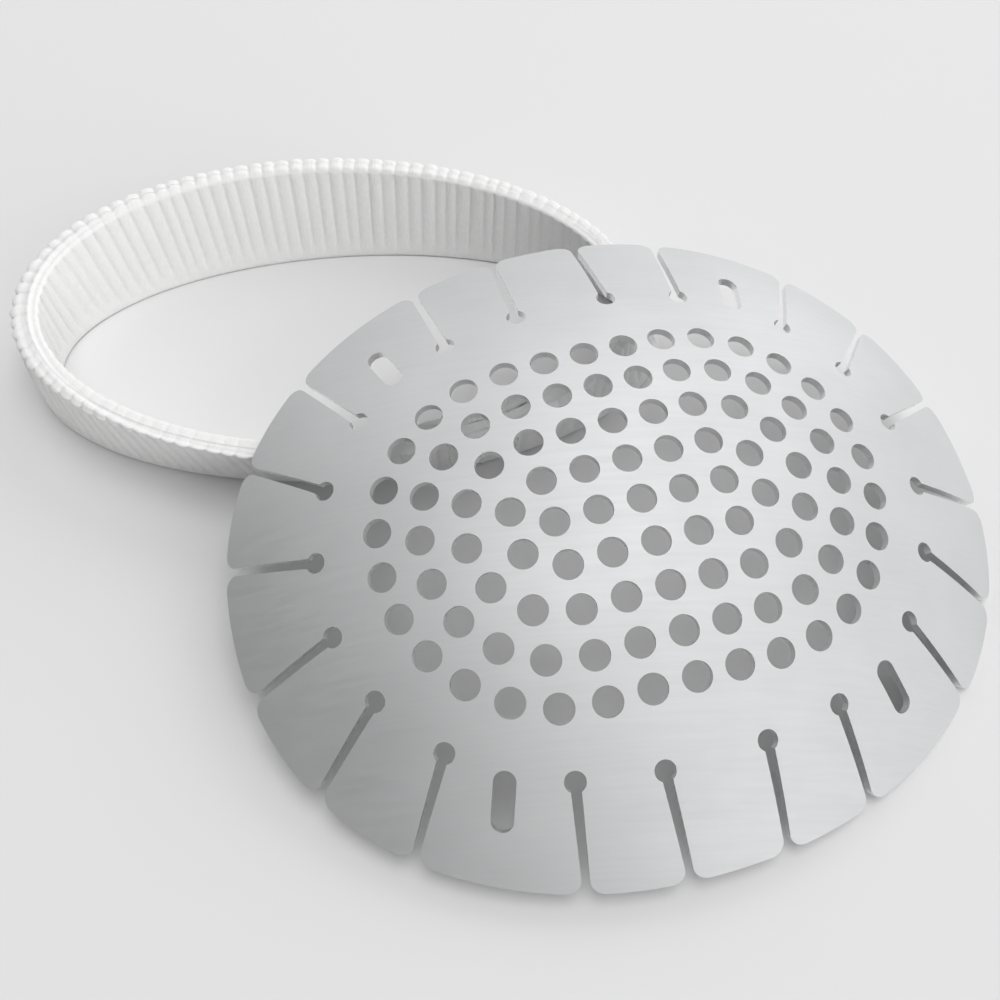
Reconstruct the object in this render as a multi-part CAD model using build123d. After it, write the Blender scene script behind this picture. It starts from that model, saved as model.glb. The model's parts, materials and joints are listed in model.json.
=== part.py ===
from build123d import *
import os
from math import asin, atan2, copysign, cos, degrees, hypot, pi, radians, sin, tan

# A domed, perforated eye shield of thin aluminium sheet, leaning on a sewn loop of
# ribbed elastic. Millimetres, +Z up. The origin is on the table, under the middle of
# the box that holds the whole part.

# The shield's sheet. Flat sizes are measured along the sheet from the crown outward.
DOME_RADIUS = 73.5
SHEET = 0.8
HALF_LENGTH = 44.4
HALF_WIDTH = 36.2
OVAL_POWER = 2.2
OVAL_POINTS = 48
CORNER_RADIUS = 1.5

# The viewing and ventilation holes: a centre row, with rings of the same pitch round it.
HOLE_PITCH = 4.4
HOLE_DIAMETER = 3.0
ROW_HOLES = 5
RINGS = 4
END_GAPS_PER_RING = 3

# The keyhole slits that part the rim into tabs. One quadrant is listed, anticlockwise
# from the long end, as shares of the half length and the half width.
KEYHOLE_DIAMETER = 2.1
SLIT_INNER_WIDTH = 1.05
SLIT_MOUTH_WIDTH = 0.8
KEYHOLE_PLACE_SHARES = [(0.741, 0.111), (0.681, 0.315), (0.561, 0.497), (0.308, 0.658), (0.118, 0.693)]
MOUTH_PLACE_SHARES = [(0.955, 0.192), (0.854, 0.493), (0.677, 0.716), (0.340, 0.919), (0.116, 0.948)]

# Each tab bends along the chord between its two keyholes.
BEND_GAP = 0.3

# The four tie slots, one in each wide corner tab.
SLOT_WIDTH = 2.2
SLOT_LENGTH = 5.8
SLOT_PLACE_SHARE = (0.466, 0.658)
SLOT_ANGLE = 20.0

# The head strap: a loop of flat elastic that stands on its edge. Its foot and its top
# are level ovals of their own. The long runs lean outward and the tight turns inward.
STRAP_WIDTH = 11.4
STRAP_LEAN = 20.0
STRAP_THICKNESS = 2.6
FOOT_PLACE = (-31.55, 36.7)
FOOT_HALF_LENGTH = 39.25
FOOT_HALF_DEPTH = 18.95
FOOT_TURN = -1.6
TOP_PLACE = (-33.1, 37.45)
TOP_HALF_LENGTH = 37.15
TOP_HALF_DEPTH = 23.75
TOP_TURN = -8.0

# The rubber strands inside the strap, side by side in a flat pocket.
STRANDS = 7
STRAND_DIAMETER = 0.7
STRAND_PITCH = 1.2
STRAND_FIT = 0.3

# The strap's ends lap and are sewn with rows of thread.
LAP_ANGLE = 300.0
LAP_LENGTH = 15.0
LAP_THICKNESS = 2.4
THREAD_DIAMETER = 0.4
THREAD_FIT = 0.1
PASS_SHARE = 0.8
THREAD_ROWS = 3
THREAD_ROW_GAP = 4.0

# How the shield lies: turned on the table, its near right rim down, its left rim on the strap.
SHIELD_TURN = 13.1
SHIELD_ROLL = 5.0
SEAT_GAP = 0.55
SEAT_PLACE_SHARE = (-0.86, 0.57)
SEAT_ANGLE = 266.0
FRONT_PLACE_SHARE = (0.74, -0.72)

# Cutters run past what they cut by this much.
OVERRUN = 2.0
CONE_SHARE = 0.75

PARTS = "parts"


# The sheet is laid out on the plane that touches the dome at its crown. A straight line
# there lies on the dome as a great circle when it is carried toward the dome's centre.
def on_plane(x, y):
    reach = hypot(x, y)
    spread = DOME_RADIUS * tan(reach / DOME_RADIUS) / reach
    return x * spread, y * spread


def widened(size, point):
    """A width on the sheet, as it measures across the plane at a point of it."""
    return size * hypot(DOME_RADIUS, *point) / DOME_RADIUS


def on_dome(x, y, turn=0):
    """The place on the dome's outer face of a point of the flat sheet."""
    heading = degrees(atan2(y, x))
    lean = degrees(hypot(x, y) / DOME_RADIUS)
    return Rot(0, 0, heading) * Rot(0, lean, 0) * Rot(0, 0, turn - heading) * Pos(0, 0, DOME_RADIUS)


def along(start, end, share):
    """The point that lies a share of the way from start to end."""
    return tuple(a + (b - a) * share for a, b in zip(start, end))


def all_round(quadrant_shares):
    """A quadrant's places on the flat sheet in all quadrants, anticlockwise from the long end."""
    quarter = [(x * HALF_LENGTH, y * HALF_WIDTH) for x, y in quadrant_shares]
    upper = quarter + [(-x, y) for x, y in reversed(quarter)]
    return upper + [(-x, -y) for x, y in upper]


KEYHOLES = [on_plane(*place) for place in all_round(KEYHOLE_PLACE_SHARES)]
MOUTHS = [on_plane(*place) for place in all_round(MOUTH_PLACE_SHARES)]
TABS = len(KEYHOLES)
TIE_TABS = [i for i in range(TABS) if i % (TABS // 2) in (2, 6)]
FAR_SHARE = 2.0


def tab_name(i):
    return f"{'tie' if i in TIE_TABS else 'rim'}_tab_{i + 1:02d}"


def rim_oval():
    """The sheet's outline, an oval a little squarer than an ellipse."""
    long_reach = on_plane(HALF_LENGTH, 0)[0]
    wide_reach = on_plane(0, HALF_WIDTH)[1]
    points = []
    for n in range(OVAL_POINTS):
        turn = 2 * pi * n / OVAL_POINTS
        x, y = (copysign(abs(part) ** (2 / OVAL_POWER), part) for part in (cos(turn), sin(turn)))
        points.append((long_reach * x, wide_reach * y))
    return make_face(Spline(*points, periodic=True))


def strip(start, end, start_width, end_width):
    """A straight strip of the plane that may taper from one end to the other."""
    length = hypot(end[0] - start[0], end[1] - start[1])
    across = (-(end[1] - start[1]) / length, (end[0] - start[0]) / length)
    corners = []
    for point, half in ((start, start_width / 2), (end, end_width / 2)):
        corners.append((point[0] - across[0] * half, point[1] - across[1] * half))
        corners.append((point[0] + across[0] * half, point[1] + across[1] * half))
    return make_face(Polyline(corners[0], corners[2], corners[3], corners[1], close=True))


def slit(i):
    """The slit's gap, from its keyhole out past the rim."""
    inner = widened(SLIT_INNER_WIDTH, KEYHOLES[i])
    mouth = widened(SLIT_MOUTH_WIDTH, MOUTHS[i])
    far = along(KEYHOLES[i], MOUTHS[i], FAR_SHARE)
    return strip(KEYHOLES[i], far, inner, inner + (mouth - inner) * FAR_SHARE)


def bend_strip(i):
    """The thin gap along a tab's bend line."""
    a, b = KEYHOLES[i], KEYHOLES[(i + 1) % TABS]
    gap = widened(BEND_GAP, a)
    return strip(along(a, b, -1), along(a, b, 2), gap, gap)


def radial_solid(face):
    """A face of the crown plane, carried through the sheet toward the dome's centre."""
    far = Pos(0, 0, DOME_RADIUS) * face
    near = Pos(0, 0, DOME_RADIUS * CONE_SHARE) * scale(face, CONE_SHARE)
    return loft([near, far], ruled=True)


def shell():
    return Sphere(DOME_RADIUS) - Sphere(DOME_RADIUS - SHEET)


def round_cutters(places, diameter):
    """Drills square to the dome at places of the flat sheet."""
    return [on_dome(x, y) * Cylinder(diameter / 2, 2 * OVERRUN) for x, y in places]


def hole_places():
    """The racetrack pattern: straight rows above each other, and half rings at each end."""
    half_row = (ROW_HOLES - 1) / 2 * HOLE_PITCH
    row = [n * HOLE_PITCH - half_row for n in range(ROW_HOLES)]
    places = [(x, 0) for x in row]
    for ring in range(1, RINGS + 1):
        reach = ring * HOLE_PITCH
        places += [(x, side * reach) for x in row for side in (1, -1)]
        gaps = END_GAPS_PER_RING * ring
        for n in range(1, gaps):
            turn = radians(180 * n / gaps)
            places += [(side * (half_row + reach * sin(turn)), reach * cos(turn)) for side in (1, -1)]
    return places


def make_dome(sheet, keyholes):
    """The middle of the sheet, out to the bend lines, with its viewing holes."""
    outline = make_face(Polyline(*KEYHOLES, close=True))
    for i in range(TABS):
        outline -= bend_strip(i)
    holes = round_cutters(hole_places(), HOLE_DIAMETER)
    return (sheet & radial_solid(outline)) - keyholes - holes


def make_tab(i, sheet, oval, keyholes):
    """One rim tab, from its bend line to the rounded corners at the rim."""
    j = (i + 1) % TABS
    far_i = along(KEYHOLES[i], MOUTHS[i], FAR_SHARE)
    far_j = along(KEYHOLES[j], MOUTHS[j], FAR_SHARE)
    outline = oval & make_face(Polyline(KEYHOLES[i], far_i, far_j, KEYHOLES[j], close=True))
    outline = outline - slit(i) - slit(j) - bend_strip(i)
    corners = [outline.vertices().sort_by_distance((*MOUTHS[end], 0))[0] for end in (i, j)]
    outline = fillet(corners, widened(CORNER_RADIUS, MOUTHS[i]))
    tab = (sheet & radial_solid(outline)) - [keyholes[i], keyholes[j]]
    if i in TIE_TABS:
        side_x = 1 if KEYHOLES[i][0] > 0 else -1
        side_y = 1 if KEYHOLES[i][1] > 0 else -1
        place = (side_x * SLOT_PLACE_SHARE[0] * HALF_LENGTH, side_y * SLOT_PLACE_SHARE[1] * HALF_WIDTH)
        turn = 90 - side_x * side_y * SLOT_ANGLE
        tab -= on_dome(*place, turn) * extrude(SlotOverall(SLOT_LENGTH, SLOT_WIDTH), OVERRUN, both=True)
    return tab


# The strap's surface is ruled from its foot oval to its top oval. A share of 0 is the
# foot and 1 is the top.
TOP_HEIGHT = STRAP_WIDTH * cos(radians(STRAP_LEAN))


def oval_axes(place, turn, length, depth, height):
    """The middle and the two half axes of a level oval."""
    middle = Vector(*place, height)
    long_axis = Vector(1, 0, 0).rotate(Axis.Z, turn)
    deep_axis = Vector(0, 1, 0).rotate(Axis.Z, turn)
    return middle, long_axis * length, deep_axis * depth


def strap_axes(share, grow=0):
    """The same for the strap at a share of its height, grown outward from mid surface."""
    foot = oval_axes(FOOT_PLACE, FOOT_TURN, FOOT_HALF_LENGTH + grow, FOOT_HALF_DEPTH + grow, 0)
    top = oval_axes(TOP_PLACE, TOP_TURN, TOP_HALF_LENGTH + grow, TOP_HALF_DEPTH + grow, TOP_HEIGHT)
    return [low + (high - low) * share for low, high in zip(foot, top)]


def strap_point(angle, share, grow=0):
    """A point of the strap at an angle round the loop."""
    middle, along_x, along_y = strap_axes(share, grow)
    return middle + along_x * cos(radians(angle)) + along_y * sin(radians(angle))


def strap_oval(share, grow=0):
    """The strap's closed line at a share of its height, an ellipse on its own main axes."""
    middle, a, b = strap_axes(share, grow)
    lean = atan2(2 * a.dot(b), a.dot(a) - b.dot(b)) / 2
    main, minor = a * cos(lean) + b * sin(lean), b * cos(lean) - a * sin(lean)
    return Plane(origin=middle, x_dir=main, z_dir=main.cross(minor)) * Ellipse(main.length, minor.length)


def band(low_share, high_share, inner, outer):
    """A closed band between two offsets from the mid surface."""
    outside = loft([strap_oval(low_share, outer), strap_oval(high_share, outer)], ruled=True)
    inside = loft([strap_oval(low_share, inner), strap_oval(high_share, inner)], ruled=True)
    return outside - inside


def lap_frame(slide=0):
    """A plane in the lapped join: X along the strap, Y across its face, Z up its width."""
    middle = strap_point(LAP_ANGLE, 0.5)
    step = strap_point(LAP_ANGLE + 1, 0.5) - middle
    angle = LAP_ANGLE + slide / step.length
    foot, top = strap_point(angle, 0), strap_point(angle, 1)
    ahead = strap_point(angle + 1, 0.5) - strap_point(angle - 1, 0.5)
    return Plane(origin=(foot + top) / 2, x_dir=ahead, z_dir=top - foot)


STRAND_SPAN = STRAND_PITCH * (STRANDS - 1)


def strand_share(n):
    """How far up the strap's width strand n runs. Halves fall between two strands."""
    return 0.5 + (STRAND_PITCH * n - STRAND_SPAN / 2) / STRAP_WIDTH


def make_strap():
    """The woven cover: a closed loop, doubled at the lap, with a pocket for the rubber."""
    cover = band(0, 1, -STRAP_THICKNESS / 2, STRAP_THICKNESS / 2)
    lap = band(0, 1, -STRAP_THICKNESS / 2 - LAP_THICKNESS, -STRAP_THICKNESS / 2)
    cover += lap & lap_frame() * Box(LAP_LENGTH, 4 * STRAP_THICKNESS, 2 * STRAP_WIDTH)
    room = STRAND_DIAMETER / 2 + STRAND_FIT
    edge = room / STRAP_WIDTH
    cover -= band(strand_share(0) - edge, strand_share(STRANDS - 1) + edge, -room, room)
    for row in range(THREAD_ROWS):
        cover -= needle_rods(row, THREAD_DIAMETER / 2 + THREAD_FIT)
    return cover


def make_strands():
    """The rubber strands, each a closed ring round the whole loop."""
    strands = []
    for n in range(STRANDS):
        path = strap_oval(strand_share(n)).edges()[0]
        section = Plane(origin=path @ 0, z_dir=path % 0) * Circle(STRAND_DIAMETER / 2)
        strands.append(sweep(section, path=path))
    return strands


def row_slide(row):
    return (row - (THREAD_ROWS - 1) / 2) * THREAD_ROW_GAP


def faces_at_lap():
    """How far the thread's two runs lie from the strap's mid surface, out and in."""
    rest = THREAD_DIAMETER / 2 + THREAD_FIT
    return STRAP_THICKNESS / 2 + rest, STRAP_THICKNESS / 2 + LAP_THICKNESS + rest


def needle_rods(row, radius):
    """The thread's passes through both layers of the lap."""
    out, back = faces_at_lap()
    frame = lap_frame(row_slide(row))
    run = strap_point(LAP_ANGLE, 1) - strap_point(LAP_ANGLE, 0)
    rods = []
    for n in range(STRANDS - 1):
        height = (strand_share(n + 0.5) - 0.5) * run.length
        rod = Rot(90, 0, 0) * Cylinder(radius, out + back)
        rods.append(frame * Pos(0, (back - out) / 2, height) * rod)
    return rods


def make_thread():
    """One row of stitching per solid: a run on each face, joined by the passes."""
    out, back = faces_at_lap()
    rows = []
    for row in range(THREAD_ROWS):
        frame = lap_frame(row_slide(row))
        run = Cylinder(THREAD_DIAMETER / 2, STRAND_PITCH * (STRANDS - 2) + THREAD_DIAMETER)
        parts = [frame * Pos(0, -out, 0) * run, frame * Pos(0, back, 0) * run]
        rows.append(parts[0] + parts[1] + needle_rods(row, THREAD_DIAMETER / 2 * PASS_SHARE))
    return rows


def inner_place(place_share):
    """A place on the dome's inner face, turned as it lies on the table."""
    place = on_dome(place_share[0] * HALF_LENGTH, place_share[1] * HALF_WIDTH)
    point = (Rot(0, 0, SHIELD_TURN) * place).position
    return point * ((DOME_RADIUS - SHEET) / DOME_RADIUS)


def shield_tilt():
    """The tilt that keeps the left rim just clear of the strap while the near rim is down."""
    step = inner_place(SEAT_PLACE_SHARE) - inner_place(FRONT_PLACE_SHARE)
    rise = strap_point(SEAT_ANGLE, 1).Z + SEAT_GAP + step.X * sin(radians(SHIELD_ROLL))
    rise = rise / cos(radians(SHIELD_ROLL))
    return degrees(asin(rise / hypot(step.Y, step.Z)) - atan2(step.Z, step.Y))


def shield_pose():
    """How the dome lies, from its own centre to its crown at the origin."""
    lean = Rot(0, SHIELD_ROLL, 0) * Rot(shield_tilt(), 0, 0)
    return lean * Rot(0, 0, SHIELD_TURN) * Pos(0, 0, -DOME_RADIUS)


def make_all():
    """Every node where it belongs, and the placement of the shield's own frame."""
    sheet = shell()
    oval = rim_oval()
    keyholes = round_cutters(all_round(KEYHOLE_PLACE_SHARES), KEYHOLE_DIAMETER)
    shield = {"shield_dome": make_dome(sheet, keyholes)}
    for i in range(TABS):
        shield[tab_name(i)] = make_tab(i, sheet, oval, keyholes)
    pose = shield_pose()
    lift = -(pose * Compound(list(shield.values()))).bounding_box().min.Z
    pose = Pos(0, 0, lift) * pose
    nodes = {name: pose * shape for name, shape in shield.items()}
    nodes["strap_cover"] = make_strap()
    nodes["rubber_strands"] = Compound(make_strands())
    nodes["seam_thread"] = Compound(make_thread())
    middle = Compound(list(nodes.values())).bounding_box().center()
    shift = Pos(-middle.X, -middle.Y, 0)
    return {name: shift * shape for name, shape in nodes.items()}, shift * pose


NODES, SHIELD_POSE = make_all()
os.makedirs(PARTS, exist_ok=True)
for name, shape in NODES.items():
    shape.label = name
    export_step(shape, f"{PARTS}/{name}.step")
print("tilt", round(shield_tilt(), 3), "dome centre", SHIELD_POSE.position)
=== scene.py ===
# %% [markdown]
# # A perforated eye shield on its elastic strap
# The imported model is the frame: it holds the real sizes, the bodies and the hinges.
# This file dresses that frame. The metal sheet, split in the frame along its bend
# lines, is made whole again, and the plain strap gets its ribs, its edge and its sewing.

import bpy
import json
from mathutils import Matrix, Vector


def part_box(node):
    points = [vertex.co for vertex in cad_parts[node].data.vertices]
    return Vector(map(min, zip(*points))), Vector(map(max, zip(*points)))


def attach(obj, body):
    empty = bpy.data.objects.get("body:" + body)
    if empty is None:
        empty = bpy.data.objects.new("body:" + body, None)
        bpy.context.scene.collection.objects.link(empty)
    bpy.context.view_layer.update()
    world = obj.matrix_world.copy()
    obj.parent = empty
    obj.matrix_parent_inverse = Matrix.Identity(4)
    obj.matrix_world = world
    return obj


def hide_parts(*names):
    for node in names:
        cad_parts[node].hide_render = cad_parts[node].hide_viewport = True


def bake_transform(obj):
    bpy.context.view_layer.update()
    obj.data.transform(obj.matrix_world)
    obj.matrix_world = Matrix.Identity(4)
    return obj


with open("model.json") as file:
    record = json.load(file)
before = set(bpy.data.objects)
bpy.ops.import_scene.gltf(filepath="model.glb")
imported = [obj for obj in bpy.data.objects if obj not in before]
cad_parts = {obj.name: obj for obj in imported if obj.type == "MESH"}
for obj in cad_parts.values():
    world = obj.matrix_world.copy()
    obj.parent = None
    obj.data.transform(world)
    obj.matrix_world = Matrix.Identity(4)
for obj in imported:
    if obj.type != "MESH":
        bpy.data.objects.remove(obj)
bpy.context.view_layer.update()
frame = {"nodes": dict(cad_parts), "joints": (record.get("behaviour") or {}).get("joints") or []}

import json
from bisect import bisect_right
from functools import lru_cache
from math import atan2, copysign, cos, hypot, pi, radians, sin

import bmesh
import bpy
import numpy
from mathutils import Matrix, Vector, noise

MM = 0.001
FULL_TURN = 2 * pi


def in_mm(metres, digits=1):
    """Metres as rounded millimetres, for what the cells print."""
    return [round(v / MM, digits) for v in metres]


# %% [markdown]
# ## Camera
# The photograph looks down at the object from the front, from about ten centimetres
# away. A camera could be placed by eye. This one's place and turn were fitted to the
# slits, holes and strap lines, so that the render can be laid over the photograph. Its
# axes are written as directions, which are easier to read than three angles.

# %% Camera
CAMERA_PLACE = Vector((1.381, -64.228, 98.446)) * MM
CAMERA_RIGHT = Vector((0.99762, -0.06256, -0.02916))
CAMERA_BACK = Vector((-0.00847, -0.53023, 0.84781))
FOCAL_SHARE = 0.9765
SENSOR = 36.0
CLIP_RANGE = (0.005, 20)


def place_camera():
    data = bpy.data.cameras.new("camera")
    data.sensor_width = SENSOR
    data.lens = SENSOR * FOCAL_SHARE
    data.clip_start, data.clip_end = CLIP_RANGE
    camera = bpy.data.objects.new("camera", data)
    back = CAMERA_BACK.normalized()
    up = back.cross(CAMERA_RIGHT).normalized()
    right = up.cross(back)
    turn = Matrix((right, up, back)).transposed().to_4x4()
    camera.matrix_world = Matrix.Translation(CAMERA_PLACE) @ turn
    bpy.context.scene.collection.objects.link(camera)
    bpy.context.scene.camera = camera


place_camera()
print("camera place in mm", in_mm(CAMERA_PLACE))

# %% [markdown]
# ## Helpers for pieces and finishes
# Each shape here is worked out in a bmesh and then written once to a mesh and an object.
# Each finish is a small network of procedural nodes. The nodes could be wired by hand in
# the editor. In code, one helper for each common step keeps a finish to a few lines.


# %% Helper for pieces
def new_piece(bm, name, *materials):
    """Writes a shape to a new object at the origin and shades it smooth."""
    for face in bm.faces:
        face.smooth = True
    mesh = bpy.data.meshes.new(name)
    bm.to_mesh(mesh)
    bm.free()
    for material in materials:
        mesh.materials.append(material)
    piece = bpy.data.objects.new(name, mesh)
    bpy.context.scene.collection.objects.link(piece)
    return piece


# %% Helpers for nodes
def new_material(name):
    material = bpy.data.materials.new(name)
    material.use_nodes = True
    return material, material.node_tree, material.node_tree.nodes["Principled BSDF"]


def node(tree, kind, **values):
    """Adds a node. A value sets a socket by name, or an attribute of the node."""
    made = tree.nodes.new(kind)
    for name, value in values.items():
        label = name.replace("_", " ")
        if label in made.inputs:
            made.inputs[label].default_value = value
        else:
            setattr(made, name, value)
    return made


def join(tree, source, target):
    tree.links.new(source, target)


# %% Helpers for patterns
def stretched(tree, place, **values):
    """A place turned and scaled, for a pattern to read."""
    made = node(tree, "ShaderNodeMapping", **values)
    join(tree, place, made.inputs["Vector"])
    return made.outputs["Vector"]


def noise_at(tree, place, **values):
    """The grey level of a noise at a place."""
    made = node(tree, "ShaderNodeTexNoise", **values)
    join(tree, place, made.inputs["Vector"])
    return made.outputs["Fac"]


def rescaled(tree, level, **values):
    """A level moved from one range to another, and held inside it."""
    made = node(tree, "ShaderNodeMapRange", **values)
    join(tree, level, made.inputs["Value"])
    return made.outputs["Result"]


def add_bump(tree, shader, height, **values):
    """Tilts the shading by a height."""
    made = node(tree, "ShaderNodeBump", **values)
    join(tree, height, made.inputs["Height"])
    join(tree, made.outputs["Normal"], shader.inputs["Normal"])


def add_colours(tree, shader, level, dark, light, start=0.0, end=1.0):
    """Colours the shader from dark to light while the level goes from start to end."""
    made = node(tree, "ShaderNodeValToRGB")
    first, last = made.color_ramp.elements
    first.position, first.color = start, (*dark, 1)
    last.position, last.color = end, (*light, 1)
    join(tree, level, made.inputs["Fac"])
    join(tree, made.outputs["Color"], shader.inputs["Base Color"])


# %% [markdown]
# ## Floor and light
# A satin metal shows what stands round it, so the room matters as much as the lamps. The
# room is pale at the right and falls off toward the left, which leaves the sheet's near
# left side darker, as in the photograph. Four wide lamps fill in softly from above. A
# few small lamps would be simpler, but they would print hard spots on the metal.

# %% Floor
bpy.context.scene.view_settings.view_transform = "Standard"
FLOOR_GREY = (0.75, 0.75, 0.75, 1)
FLOOR_SIZE = 3.0


def floor_material():
    material, _, shader = new_material("floor")
    shader.inputs["Base Color"].default_value = FLOOR_GREY
    shader.inputs["Roughness"].default_value = 0.9
    return material


def make_floor():
    bm = bmesh.new()
    bmesh.ops.create_grid(bm, x_segments=1, y_segments=1, size=FLOOR_SIZE / 2)
    floor = new_piece(bm, "floor", floor_material())


make_floor()
print("floor:", FLOOR_SIZE, "m wide")

# %% Lamps
LAMP_SIZE = 0.6


def soft_lamp(name, place, watts):
    """A square lamp at a place in metres that looks at the middle of the object."""
    data = bpy.data.lights.new(name, "AREA")
    data.size = LAMP_SIZE
    data.energy = watts
    lamp = bpy.data.objects.new(name, data)
    lamp.location = place
    lamp.rotation_euler = Vector(place).to_track_quat("Z", "Y").to_euler()
    bpy.context.scene.collection.objects.link(lamp)
    return lamp


lamps = [
    soft_lamp("top_lamp", place=(0.1, 0, 0.9), watts=3.3),
    soft_lamp("back_right_lamp", place=(0.45, 0.6, 0.5), watts=1.8),
    soft_lamp("front_right_lamp", place=(0.5, -0.65, 0.35), watts=1.85),
    soft_lamp("back_left_lamp", place=(-0.5, 0.65, 0.45), watts=1.5),
]
print(len(lamps), "lamps,", round(sum(lamp.data.energy for lamp in lamps), 2), "watts")

# %% Room
ROOM_BRIGHTEST = 0.85


def make_room():
    """A world of white light that falls off evenly from the right (+X) to the left."""
    world = bpy.data.worlds.new("room")
    world.use_nodes = True
    tree = world.node_tree
    way = node(tree, "ShaderNodeTexCoord")
    axes = node(tree, "ShaderNodeSeparateXYZ")
    join(tree, way.outputs["Generated"], axes.inputs["Vector"])
    level = rescaled(tree, axes.outputs["X"], From_Min=-1, To_Max=ROOM_BRIGHTEST)
    background = tree.nodes["Background"]
    background.inputs["Color"].default_value = (1, 1, 1, 1)
    join(tree, level, background.inputs["Strength"])
    bpy.context.scene.world = world


make_room()
print("room light: 0 at the left to", ROOM_BRIGHTEST, "at the right")

# %% [markdown]
# ## Satin aluminium
# Soft aluminium sheet is rolled, so it has a very fine straight grain, and handling
# leaves it a little cloudy. The grain is a noise squeezed hard in one direction, turned
# to lie along the shield. It changes the roughness and a shallow bump. A second, broad
# noise clouds the colour by a few percent, and a few hairline scratches cross it. A
# picture of metal would do the same, but it blurs close up and repeats far off.

# %% Sheet finish
SHIELD_TURN = radians(13.1)
SCRATCH_TURN = radians(31)
SCRATCH_DEPTH = 0.5


def sheet_material():
    material, tree, shader = new_material("satin_sheet")
    place = node(tree, "ShaderNodeTexCoord").outputs["Object"]
    along = stretched(tree, place, Rotation=(0, 0, -SHIELD_TURN), Scale=(90, 2600, 400))
    grain = noise_at(tree, along, Scale=1.0, Detail=4.0, Roughness=0.65)
    cloud = noise_at(tree, place, Scale=55.0, Detail=3.0, Roughness=0.55)
    across = stretched(tree, place, Rotation=(0, 0, SCRATCH_TURN), Scale=(120, 9000, 500))
    scratch = noise_at(tree, across, Scale=1.0, Detail=1.0)
    hair = rescaled(tree, scratch, From_Min=0.70, From_Max=0.78, To_Min=0.0, To_Max=1.0)

    dark, light = (0.65, 0.655, 0.66), (0.71, 0.715, 0.72)
    add_colours(tree, shader, cloud, dark, light, start=0.3, end=0.75)
    rough = rescaled(tree, grain, From_Min=0.3, From_Max=0.7, To_Min=0.64, To_Max=0.72)
    join(tree, rough, shader.inputs["Roughness"])

    relief = node(tree, "ShaderNodeMath", operation="MULTIPLY_ADD")
    relief.inputs[1].default_value = -SCRATCH_DEPTH
    join(tree, hair, relief.inputs[0])
    join(tree, grain, relief.inputs[2])
    add_bump(tree, shader, relief.outputs["Value"], Strength=0.12, Distance=0.03 * MM)
    shader.inputs["Metallic"].default_value = 1.0
    return material


SHEET_FINISH = sheet_material()
print("sheet finish:", len(SHEET_FINISH.node_tree.nodes), "nodes")

# %% [markdown]
# ## Cut edges, with a painted highlight
# The press shears the sheet, and the sheared wall is smoother than the rolled face. One
# finish for the whole sheet would lose the thin bright line round each hole. So the
# walls of the holes, slits and rim get a finish of their own: less rough, with fine streaks
# that run through the sheet's thickness, and a lighter colour. That lighter colour is a
# painted highlight, which stands in for the light that a rounded cut edge would catch.


# %% Cut edge finish, with a painted highlight
def edge_and_highlight_material():
    material, tree, shader = new_material("cut_edge_and_painted_highlight")
    place = node(tree, "ShaderNodeTexCoord").outputs["Object"]
    streak = stretched(tree, place, Scale=(4000, 4000, 300))
    shear = noise_at(tree, streak, Scale=1.0, Detail=2.0)
    rough = rescaled(tree, shear, From_Min=0.3, From_Max=0.7, To_Min=0.26, To_Max=0.42)
    join(tree, rough, shader.inputs["Roughness"])
    add_bump(tree, shader, shear, Strength=0.2, Distance=0.03 * MM)
    # Painted highlight: the walls are coloured lighter than the rolled face, to draw the bright
    # line that a rounded cut edge would catch.
    shader.inputs["Base Color"].default_value = (0.88, 0.88, 0.89, 1)
    shader.inputs["Metallic"].default_value = 1.0
    return material


EDGE_AND_HIGHLIGHT_FINISH = edge_and_highlight_material()
print("cut edge finish:", len(EDGE_AND_HIGHLIGHT_FINISH.node_tree.nodes), "nodes")

# %% [markdown]
# ## The sheet, made whole
# The frame parts each rim tab from the middle of the sheet by a thin gap on its bend
# line, so that the tab can turn. The sheet could be drawn anew without the gaps, but a
# copy of the solids keeps every hole just where it is. So each tab is a merged copy
# whose inner wall is moved across the gap to meet the middle. Rows of cuts across the
# tab near the bend line add rows of vertices there. The faces of a sheet pressed on a
# ball all point at the ball's centre, so the shading normals are set that way, and the
# thousands of slim triangles between the holes don't show.


# %% The ball that the sheet is pressed on
def best_centre(points):
    """The centre of the ball that passes nearest to all the points."""
    rows = numpy.hstack([2 * points, numpy.ones((len(points), 1))])
    return numpy.linalg.lstsq(rows, (points ** 2).sum(1), rcond=None)[0][:3]


def ball_centre():
    """A ball through both faces of the dome first, then one through its outer face alone."""
    points = numpy.array([v.co for v in frame["nodes"]["shield_dome"].data.vertices])
    centre = best_centre(points)
    reach = numpy.linalg.norm(points - centre, axis=1)
    outer = points[reach > reach.mean()]
    return Vector(best_centre(outer))


BALL = ball_centre()
print("ball centre in mm", in_mm(BALL, 2))

# %% Merged copies
WELD = 0.002 * MM
SHORTEST = 0.001 * MM


def merged_copy(name):
    """The node's triangles with their shared corners welded, ready to edit."""
    bm = bmesh.new()
    bm.from_mesh(frame["nodes"][name].data)
    bmesh.ops.remove_doubles(bm, verts=bm.verts, dist=WELD)
    bmesh.ops.dissolve_degenerate(bm, edges=bm.edges, dist=SHORTEST)
    return bm


# %% Skin, walls and their shading
SKIN_COSINE = 0.8
SKIN_SLOT, WALL_SLOT = 0, 1


def is_skin(face):
    """True on the sheet's two broad faces, false on its sheared walls."""
    out = (face.calc_center_median() - BALL).normalized()
    return abs(face.normal.dot(out)) > SKIN_COSINE


def corner_normals(bm):
    """One shading normal for each face corner: radial on the skin, smoothed on the walls."""
    normals = []
    for face in bm.faces:
        for vert in face.verts:
            out = (vert.co - BALL).normalized()
            if face.material_index == SKIN_SLOT:
                normals.append(out if face.normal.dot(out) > 0 else -out)
            else:
                walls = [f.normal for f in vert.link_faces if f.material_index == WALL_SLOT]
                near = [n for n in walls if n.dot(face.normal) > SKIN_COSINE]
                normals.append(sum(near, Vector()).normalized())
    return normals


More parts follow.
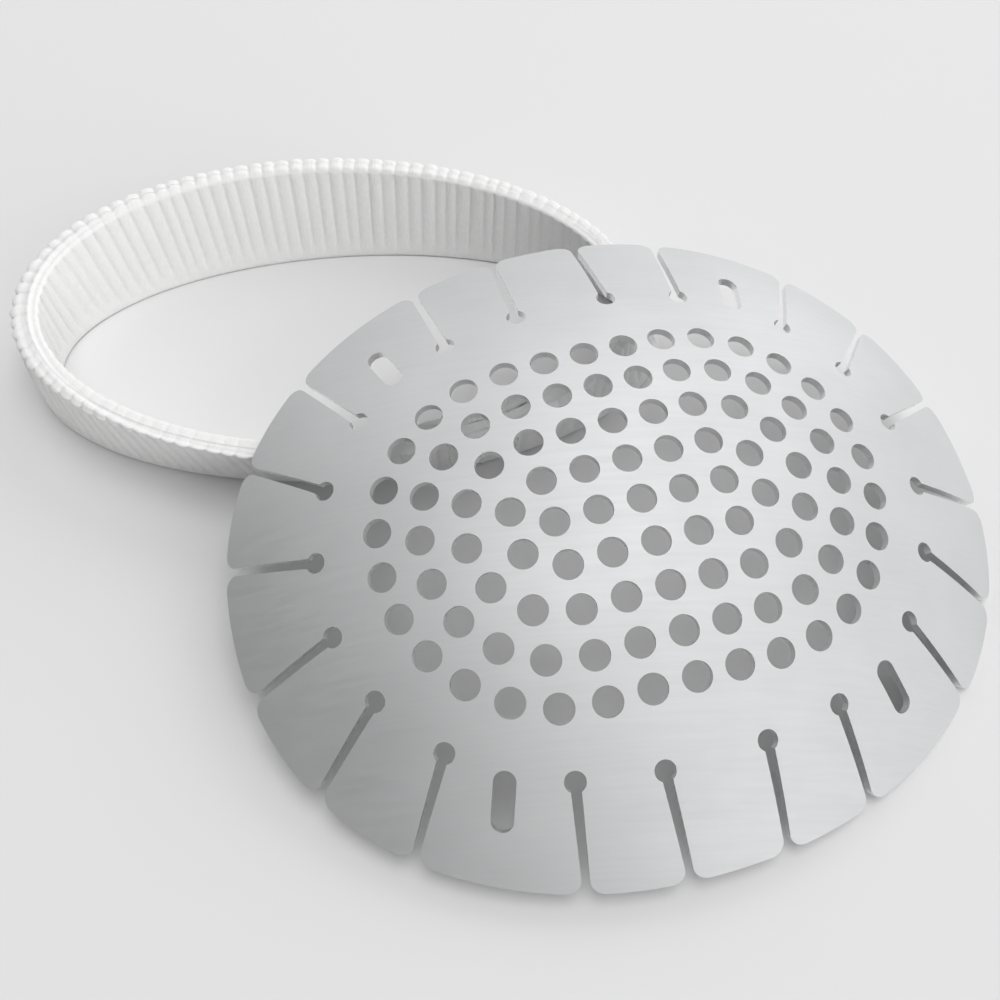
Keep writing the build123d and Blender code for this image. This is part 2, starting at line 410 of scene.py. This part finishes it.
def finish_sheet(bm, name, *replaced):
    """Turns an edited copy into a piece with the sheet's two finishes."""
    bm.normal_update()
    for face in bm.faces:
        face.material_index = SKIN_SLOT if is_skin(face) else WALL_SLOT
    normals = corner_normals(bm)
    piece = new_piece(bm, name, SHEET_FINISH, EDGE_AND_HIGHLIGHT_FINISH)
    piece.data.normals_split_custom_set(normals)
    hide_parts(*replaced)
    return piece


# %% The middle of the sheet
middle = finish_sheet(merged_copy("shield_dome"), "sheet_middle", "shield_dome")
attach(middle, "shield")
print("middle of the sheet:", len(middle.data.polygons), "faces")

# %% The rim tabs
BEND_GAP = 0.3 * MM
INNER_WALL = 0.7 * BEND_GAP
BEND_LENGTH = 1.8 * MM
BEND_ROWS = 7

hinges = {joint["child"]: joint for joint in frame["joints"] if joint["type"] == "hinge"}


def outward(name):
    """A point on a tab's bend line, and the way from there to its rim along the sheet."""
    hinge = hinges[name]
    low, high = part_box(name)
    start, axis = Vector(hinge["pos_m"]), Vector(hinge["axis"])
    way = axis.cross((start - BALL).normalized())
    if way.dot((low + high) / 2 - start) < 0:
        way = -way
    return start, way.normalized()


def make_tab(name):
    start, way = outward(name)
    bm = merged_copy(name)
    for vert in bm.verts:
        if (vert.co - start).dot(way) < INNER_WALL:
            vert.co -= way * BEND_GAP
    for row in range(1, BEND_ROWS):
        cut = start + way * (BEND_LENGTH * row / BEND_ROWS)
        parts = bm.verts[:] + bm.edges[:] + bm.faces[:]
        bmesh.ops.bisect_plane(bm, geom=parts, plane_co=cut, plane_no=way)
    tab = finish_sheet(bm, name.replace("tab", "flap"), name)
    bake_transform(tab)
    return tab


tabs = [make_tab(name) for name in hinges]
print(len(tabs), "rim tabs, each bending over", round(BEND_LENGTH / MM, 1), "mm")

# %% [markdown]
# ## The strap's path
# The elastic stands on its edge in a loop. A curve modifier could bend a straight strip
# round, but it follows one path, and this strap has two: its foot and its top are two
# level ovals. On the long runs the top reaches farther out than the foot, and in the
# tight turns less far. Elastic doesn't shear, so each woven rib stands square to the
# loop: for every place on the top oval, a few steps find the place on the foot oval
# straight across. Each piece of the strap is first made as a round ring about the Z
# axis, and then carried onto this path: an angle on the ring becomes a length along the
# loop.

# %% Ovals of the foot and the top
FOOT = {"place": (-15.704, 21.702), "half": (39.25, 18.95), "turn": -1.6, "height": 0.0}
TOP = {"place": (-17.254, 22.452), "half": (37.15, 23.75), "turn": -8.0, "height": 10.712}
LOOP_STEPS = 720
STEP_ANGLE = FULL_TURN / LOOP_STEPS


def oval_point(oval, angle):
    along, across = oval["half"][0] * cos(angle), oval["half"][1] * sin(angle)
    turn = radians(oval["turn"])
    x = oval["place"][0] + along * cos(turn) - across * sin(turn)
    y = oval["place"][1] + along * sin(turn) + across * cos(turn)
    return Vector((x, y, oval["height"])) * MM


def oval_step(oval, angle):
    return oval_point(oval, angle + STEP_ANGLE) - oval_point(oval, angle - STEP_ANGLE)


def foot_across(angle, tries=8):
    """The foot point of the rib whose top lies at this angle."""
    top, top_step = oval_point(TOP, angle), oval_step(TOP, angle)
    for _ in range(tries):
        foot, foot_step = oval_point(FOOT, angle), oval_step(FOOT, angle)
        way = (top_step.normalized() + foot_step.normalized()).normalized()
        angle += (top - foot).dot(way) / foot_step.length * 2 * STEP_ANGLE
    return foot


# %% Rib lines and lengths
def rib_lines():
    """A foot and a top point for each even step round the top oval, and back to the start."""
    tops = [oval_point(TOP, STEP_ANGLE * n) for n in range(LOOP_STEPS)]
    feet = [foot_across(STEP_ANGLE * n) for n in range(LOOP_STEPS)]
    return list(zip(feet + feet[:1], tops + tops[:1]))


def middle_lengths(lines):
    """The length along the loop, at mid height, from the first rib line to each."""
    lengths = [0.0]
    for (foot, top), (next_foot, next_top) in zip(lines, lines[1:]):
        lengths.append(lengths[-1] + (next_foot + next_top - foot - top).length / 2)
    return lengths


LINES = rib_lines()
LENGTHS = middle_lengths(LINES)
LOOP_LENGTH = LENGTHS[-1]
print("strap length in mm", round(LOOP_LENGTH / MM, 1))


# %% Find a rib by its length
def line_step(n):
    """From the rib line before step n to the one after it, at mid height."""
    before, after = LINES[(n - 1) % LOOP_STEPS], LINES[(n + 1) % LOOP_STEPS]
    return (after[0] + after[1] - before[0] - before[1]).normalized()


@lru_cache(maxsize=None)
def rib_line(length):
    """Foot, top and level way out of the rib at a length, and its angle on the top oval."""
    length = length % LOOP_LENGTH
    n = min(bisect_right(LENGTHS, length), LOOP_STEPS) - 1
    share = (length - LENGTHS[n]) / (LENGTHS[n + 1] - LENGTHS[n])
    foot, top = (a.lerp(b, share) for a, b in zip(LINES[n], LINES[n + 1]))
    ahead = line_step(n).lerp(line_step(n + 1), share)
    return foot, top, Vector((ahead.y, -ahead.x, 0)).normalized(), (n + share) * STEP_ANGLE


def rib_at(length):
    """The rib line at a length in metres, rounded so that equal places share one."""
    return rib_line(round(length, 7))


first_foot, first_top = LINES[0]
print("first rib from", in_mm(first_foot), "to", in_mm(first_top), "mm")

# %% [markdown]
# ## From a flat place to the loop
# A place on the strap has a length along the loop, a share of its height and a depth out
# from its middle. In the tight left turn the elastic's outer face bows out, as the
# photograph shows. A second shape could be blended in there. Here the depth just grows:
# most at the far left, not at all on the long runs, and most of it above the foot.

# %% Lay a place on the loop
HALF_THICK = 1.3 * MM
BOW_SHARE = 0.9
BOW_START = 0.1
BOW_REACH = 0.65


def on_strap(length, share, depth):
    """A point of the strap. The share runs from 0 at the foot to 1 at the top."""
    foot, top, out, angle = rib_at(length)
    if depth > 0:
        leftmost = max(0.0, -cos(angle)) ** 3
        depth *= 1 + BOW_SHARE * leftmost * sin(pi * (BOW_START + BOW_REACH * share))
    place = foot.lerp(top, share) + out * depth
    place.z = max(place.z, 0)
    return place


print("the strap's left end in mm", in_mm(on_strap(LOOP_LENGTH / 2, 0.5, HALF_THICK)))

# %% [markdown]
# ## White ribbed elastic
# The cover is woven in cross ribs about 1.8 mm apart. The ribs are real geometry, and
# the material adds the yarn: short fine floats along each rib, a soft fuzz and a little
# sheen. A pattern in the space round the strap would slide off the weave in the turns.
# So this one reads the piece's own UV map, which runs in millimetres along and across
# the strap, and the yarn follows every curve of the loop.

# %% Elastic finish
FUZZ_SHARE = 0.4


def elastic_material():
    material, tree, shader = new_material("ribbed_elastic")
    uv = node(tree, "ShaderNodeTexCoord").outputs["UV"]
    along_rib = stretched(tree, uv, Scale=(4.2, 1.3, 1))
    floats = noise_at(tree, along_rib, Scale=1.0, Detail=3.0, Roughness=0.6)
    fuzz = noise_at(tree, uv, Scale=7.0, Detail=4.0, Roughness=0.7)
    both = node(tree, "ShaderNodeMix", data_type="FLOAT", Factor=FUZZ_SHARE)
    join(tree, floats, both.inputs[2])
    join(tree, fuzz, both.inputs[3])
    height = both.outputs[0]

    add_bump(tree, shader, height, Strength=0.8, Distance=0.16 * MM)
    dark, light = (0.82, 0.82, 0.815), (0.90, 0.90, 0.895)
    add_colours(tree, shader, height, dark, light, start=0.3, end=0.65)
    shader.inputs["Roughness"].default_value = 0.85
    shader.inputs["Sheen Weight"].default_value = 0.2
    shader.inputs["Sheen Roughness"].default_value = 0.5
    return material


ELASTIC = elastic_material()
print("elastic finish:", len(ELASTIC.node_tree.nodes), "nodes")

# %% [markdown]
# ## The ribbed cover
# A strip with rounded corners is drawn once as the strap's section and spun about Z into
# a smooth ring. Then each vertex is moved: in or out by the rib it lies on, and to its
# place on the loop. A bump in the material could draw the ribs with far fewer faces, but
# then the outline would be smooth, and in the photograph it has scallops. The ribs stand
# out on both faces and fade above the foot. A fine cord runs along the top edge, mid
# edge at the left and at the outer corner in front, and sinks into the edge behind.
# Outside the cord the ribs wrap over the edge as beads, and inside it they only just
# show.

# %% The section and its spin
RIB_PITCH = 1.76 * MM
RIBS = round(LOOP_LENGTH / RIB_PITCH)
STEPS_PER_RIB = 10
HALF_WIDTH = 5.7 * MM
CORNER = 0.55 * MM
RING = 100 * MM
ARC_STEPS = 6
FACE_CUTS = 14
EDGE_CUTS = 7
STRAIGHT_SIDE = 0.5 * MM
X_AXIS, Z_AXIS = 0, 2


def section_ring(bm, half_thick, sweep=FULL_TURN, steps=RIBS * STEPS_PER_RIB):
    """A strip with rounded corners, drawn upright at the ring's radius and spun about Z."""
    segments = 4 * ARC_STEPS
    turn = Matrix.Rotation(pi / segments, 4, "Z")
    bmesh.ops.create_circle(bm, segments=segments, radius=CORNER, matrix=turn)
    for vert in bm.verts:
        depth = vert.co.x + copysign(half_thick - CORNER, vert.co.x)
        height = vert.co.y + copysign(HALF_WIDTH - CORNER, vert.co.y)
        vert.co = Vector((RING + depth, 0, height))
    for axis, cuts in ((Z_AXIS, FACE_CUTS), (X_AXIS, EDGE_CUTS)):
        spans = {e: abs(e.verts[0].co[axis] - e.verts[1].co[axis]) for e in bm.edges}
        sides = [e for e, span in spans.items() if span > STRAIGHT_SIDE]
        bmesh.ops.subdivide_edges(bm, edges=sides, cuts=cuts)
    bmesh.ops.spin(bm, geom=bm.edges[:], axis=(0, 0, 1), cent=(0, 0, 0), angle=sweep,
                   steps=steps, use_merge=sweep == FULL_TURN)
    bmesh.ops.recalc_face_normals(bm, faces=bm.faces)


def ring_place(co):
    """A ring point as its angle, its depth out from the middle and its height."""
    return atan2(co.y, co.x) % FULL_TURN, hypot(co.x, co.y) - RING, co.z


print("section:", in_mm((2 * HALF_THICK, 2 * HALF_WIDTH)), "mm,", RIBS, "ribs")

# %% Ribs
RIB_DEPTH = 0.5 * MM
RIB_ROUNDING = 0.45
RIB_HEIGHT = 0.9
HEIGHT_SPREAD = 0.3
DRIFT = 0.25
DRIFT_DETAIL = 9
OWN_STEP = 1.7
OWN_ROW = 3.1


def ramp(value, start, reach):
    """0 up to the start and 1 from the start plus the reach on."""
    return min(max((value - start) / reach, 0.0), 1.0)


def rib_share(length):
    """1 on a rib's crown and 0 in the groove beside it. No two ribs are quite alike."""
    turn = length / LOOP_LENGTH * FULL_TURN
    drift = DRIFT * noise.noise(Vector((cos(turn), sin(turn), 0)) * DRIFT_DETAIL)
    phase = length / LOOP_LENGTH * RIBS + drift
    own = noise.noise(Vector((phase // 1 % RIBS * OWN_STEP, OWN_ROW, 0)))
    return abs(sin(pi * phase)) ** RIB_ROUNDING * (RIB_HEIGHT + HEIGHT_SPREAD * own)


print("the first crown stands", round(rib_share(RIB_PITCH / 2), 2), "of a full rib high")

# %% The cord on the top edge
CORD_SWING = 1.45 * MM
CORD_HEIGHT = 0.24 * MM
CORD_HALF = 0.34 * MM
CORD_FADE_START = -0.8
CORD_FADE_REACH = 0.6
GROOVE_DEPTH = 0.5
GROOVE_MIDDLE = 1.5
GROOVE_HALF = 0.5


def from_cord(angle, depth, height):
    """How far outside the cord's middle a place lies, measured round the top edge."""
    side = depth + copysign(HALF_WIDTH - height, depth)
    return side + CORD_SWING * sin(angle) ** 3


def cord_lift(past_cord, angle):
    """The fine cord, round on top, with a groove at each side. It fades out behind."""
    gap = abs(past_cord) / CORD_HALF
    height = CORD_HEIGHT * ramp(-sin(angle), CORD_FADE_START, CORD_FADE_REACH)
    if gap < 1:
        return height * (1 - gap * gap)
    return -GROOVE_DEPTH * height * max(0.0, 1 - abs(gap - GROOVE_MIDDLE) / GROOVE_HALF)


print("cord:", round(2 * CORD_HALF / MM, 2), "mm wide")

# %% Where the ribs show
EDGE_RIB_SHARE = 0.25
WRAP_RIB_SHARE = 0.8
BEAD_SHARE = 0.55
MARGIN = 0.9 * MM
FOOT_MARGIN = 1.2 * MM


def near_top(height):
    """0 up to the margin below the top edge, and 1 on the edge."""
    return ramp(height, HALF_WIDTH - MARGIN, MARGIN)


def rib_weight(past_cord, depth, height):
    """How strongly the ribs show at a place of the section."""
    wrap = (WRAP_RIB_SHARE - EDGE_RIB_SHARE) * ramp(past_cord, 0, CORD_HALF)
    edge = (EDGE_RIB_SHARE + wrap) * near_top(height)
    face = ramp(abs(depth), HALF_THICK - CORNER, CORNER)
    if depth < 0:
        face *= ramp(HALF_WIDTH - height, 0, MARGIN)
    return max(edge, face) * ramp(height, FOOT_MARGIN - HALF_WIDTH, MARGIN)


def cover_lift(length, depth, height):
    """The shift of a place on the cover, square to its surface."""
    angle = rib_at(length)[3]
    past_cord = from_cord(angle, depth, height)
    beads = BEAD_SHARE * ramp(past_cord, 0, CORD_HALF) * near_top(height)
    ribs = RIB_DEPTH * (rib_share(length) - 1 + beads)
    return ribs * rib_weight(past_cord, depth, height) + cord_lift(past_cord, angle)


# %% From the ring to the loop
def warp_section(bm, lift):
    """New places on the loop. lift gives a shift square to the surface for each place."""
    bm.normal_update()
    places = []
    for vert in bm.verts:
        angle, depth, height = ring_place(vert.co)
        length = angle / FULL_TURN * LOOP_LENGTH
        way = Vector((cos(angle), sin(angle), 0))
        shift = lift(length, depth, height)
        depth += vert.normal.dot(way) * shift
        height += vert.normal.z * shift
        places.append(on_strap(length, (height / HALF_WIDTH + 1) / 2, depth))
    return places


def map_strip(bm):
    """A UV map in millimetres: along the loop, and round the section."""
    layer = bm.loops.layers.uv.new("strap")
    for face in bm.faces:
        angle_here = ring_place(face.calc_center_median())[0]
        for loop in face.loops:
            angle, depth, height = ring_place(loop.vert.co)
            angle += FULL_TURN * round((angle_here - angle) / FULL_TURN)
            side = height + depth if depth > 0 else 4 * HALF_WIDTH - height + depth
            loop[layer].uv = (angle / FULL_TURN * LOOP_LENGTH / MM, side / MM)


def finish_strip(bm, name, places, material):
    """Maps a ring while it is round, then moves it to its places on the loop."""
    map_strip(bm)
    for vert, place in zip(bm.verts, places):
        vert.co = place
    bmesh.ops.recalc_face_normals(bm, faces=bm.faces)
    return new_piece(bm, name, material)


# %% The cover
bm = bmesh.new()
section_ring(bm, HALF_THICK)
cover = finish_strip(bm, "elastic_cover", warp_section(bm, cover_lift), ELASTIC)
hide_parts("strap_cover")
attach(cover, "strap")
print(RIBS, "ribs,", len(cover.data.polygons), "faces")

# %% [markdown]
# ## The sewn lap
# The strap's two ends overlap under the shield and are sewn with three rows of thread.
# The inner end is a second layer, thinner at its cut end, where it stands away a little.
# The cover could be one long strip whose two ends pass each other. A short piece of the
# same ribbed ring, set inside the closed loop, gives the same look and is simpler.

# %% The inner end
LAP_ANGLE = radians(305)
LAP_MIDDLE = LENGTHS[round(LAP_ANGLE / STEP_ANGLE)]
LAP_LENGTH = 15.0 * MM
PRESSED_IN = 0.12 * MM
TAIL_HALF = 0.95 * MM
TAIL_STEPS = 90
TAIL_SWEEP = LAP_LENGTH / LOOP_LENGTH * FULL_TURN
TAIL_WIDTH_SHARE = 0.96
TAIL_RIB_SHARE = 0.16
TAIL_FLARE = 1.1 * MM
FLARE_START = 0.72
CUT_END = 1.6 * MM
CUT_END_SHARE = 0.55


def tail_place(angle, depth, height):
    """Where a place of the short ring goes on the loop, thinned, ribbed and flared."""
    share = angle / TAIL_SWEEP
    length = LAP_MIDDLE + (share - 0.5) * LAP_LENGTH
    near_end = min(share, 1 - share) * LAP_LENGTH
    thin = min(1.0, CUT_END_SHARE + near_end / CUT_END * (1 - CUT_END_SHARE))
    rib = 1 - TAIL_RIB_SHARE * (1 - rib_share(length))
    flare = TAIL_FLARE * (max(0.0, share - FLARE_START) / (1 - FLARE_START)) ** 2
    inset = PRESSED_IN - HALF_THICK - TAIL_HALF - flare
    level = (TAIL_WIDTH_SHARE * height / HALF_WIDTH + 1) / 2
    return on_strap(length, level, inset + depth * thin * rib)


bm = bmesh.new()
section_ring(bm, TAIL_HALF, sweep=TAIL_SWEEP, steps=TAIL_STEPS)
bmesh.ops.holes_fill(bm, edges=[e for e in bm.edges if e.is_boundary], sides=0)
tail_places = [tail_place(*ring_place(vert.co)) for vert in bm.verts]
tail = finish_strip(bm, "elastic_tail", tail_places, ELASTIC)
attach(tail, "strap")
print("lap:", round(LAP_LENGTH / MM, 1), "mm,", len(tail.data.polygons), "faces")

# %% [markdown]
# ## Sewing thread
# Each row of sewing is a line of short stitches on both faces. A thread could be drawn
# as one curve that dives in and out, but only the stitches show. So one stitch is a slim
# ball stretched along the row, and a loop sets one down for every step of the needle.


# %% Thread finish
def thread_material():
    material, tree, shader = new_material("sewing_thread")
    place = node(tree, "ShaderNodeTexCoord").outputs["Object"]
    wave = node(tree, "ShaderNodeTexWave", Scale=900.0, Distortion=1.0)
    join(tree, place, wave.inputs["Vector"])
    twist = wave.outputs["Fac"]
    add_bump(tree, shader, twist, Strength=0.5, Distance=0.1 * MM)
    white = rescaled(tree, twist, To_Min=0.78, To_Max=0.93)
    join(tree, white, shader.inputs["Base Color"])
    shader.inputs["Roughness"].default_value = 0.6
    return material


THREAD_FINISH = thread_material()
print("thread finish:", len(THREAD_FINISH.node_tree.nodes), "nodes")

# %% Stitches
THREAD = 0.22 * MM
STITCH_ROWS = 3
STITCHES = 8
STITCH_SINK = 0.1 * MM
STITCH_GAP = 0.04
ROW_GAP = 4.0 * MM


def add_stitch(bm, low, high):
    """A slim ball stretched from one point to another."""
    turn = (high - low).to_track_quat("Z", "Y").to_matrix().to_4x4()
    size = Matrix.Diagonal((THREAD, THREAD, (high - low).length / 2, 1))
    place = Matrix.Translation((low + high) / 2) @ turn @ size
    bmesh.ops.create_uvsphere(bm, u_segments=8, v_segments=6, radius=1, matrix=place)


def make_stitches():
    bm = bmesh.new()
    outer_face = HALF_THICK - STITCH_SINK
    inner_face = STITCH_SINK - HALF_THICK - 2 * TAIL_HALF
    for row in range(STITCH_ROWS):
        length = LAP_MIDDLE + (row - (STITCH_ROWS - 1) / 2) * ROW_GAP
        for n in range(STITCHES):
            for depth in (outer_face, inner_face):
                low = on_strap(length, (n + STITCH_GAP) / STITCHES, depth)
                high = on_strap(length, (n + 1 - STITCH_GAP) / STITCHES, depth)
                add_stitch(bm, low, high)
    for vert in bm.verts:
        vert.co.z = max(vert.co.z, 0)
    return new_piece(bm, "seam_stitches", THREAD_FINISH)


stitches = make_stitches()
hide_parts("seam_thread")
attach(stitches, "strap")
print(STITCH_ROWS * STITCHES * 2, "stitches")

# %% [markdown]
# ## Rubber strands
# Seven rubber strands run round the loop inside the cover and give it its stretch. They
# don't show, and could be left out of a picture, but a maker who cuts the cover away
# should find them. So they are slim rings with a matte rubber finish.


# %% Rubber finish
def rubber_material():
    material, tree, shader = new_material("rubber")
    place = node(tree, "ShaderNodeTexCoord").outputs["Object"]
    chalk = noise_at(tree, place, Scale=900.0, Detail=3.0)
    add_colours(tree, shader, chalk, dark=(0.62, 0.55, 0.42), light=(0.80, 0.74, 0.62))
    shader.inputs["Roughness"].default_value = 0.7
    return material


RUBBER = rubber_material()
print("rubber finish:", len(RUBBER.node_tree.nodes), "nodes")

# %% Strands
STRANDS = 7
STRAND_RADIUS = 0.35 * MM
STRAND_PITCH = 1.2 * MM
STRAND_SIDES = 8
STRAND_STEPS = 240


def make_strands(bm):
    """One round ring for each strand, one above the other."""
    upright = Matrix.Rotation(pi / 2, 4, "X")
    for n in range(STRANDS):
        height = (n - (STRANDS - 1) / 2) * STRAND_PITCH
        place = Matrix.Translation((RING, 0, height)) @ upright
        bmesh.ops.create_circle(bm, segments=STRAND_SIDES, radius=STRAND_RADIUS, matrix=place)
    bmesh.ops.spin(bm, geom=bm.edges[:], axis=(0, 0, 1), cent=(0, 0, 0), angle=FULL_TURN,
                   steps=STRAND_STEPS, use_merge=True)


def no_lift(length, depth, height):
    """The strands are plain: no place is shifted."""
    return 0.0


bm = bmesh.new()
make_strands(bm)
strands = finish_strip(bm, "rubber_cores", warp_section(bm, no_lift), RUBBER)
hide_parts("rubber_strands")
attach(strands, "strap")
print(STRANDS, "strands,", len(strands.data.polygons), "faces")
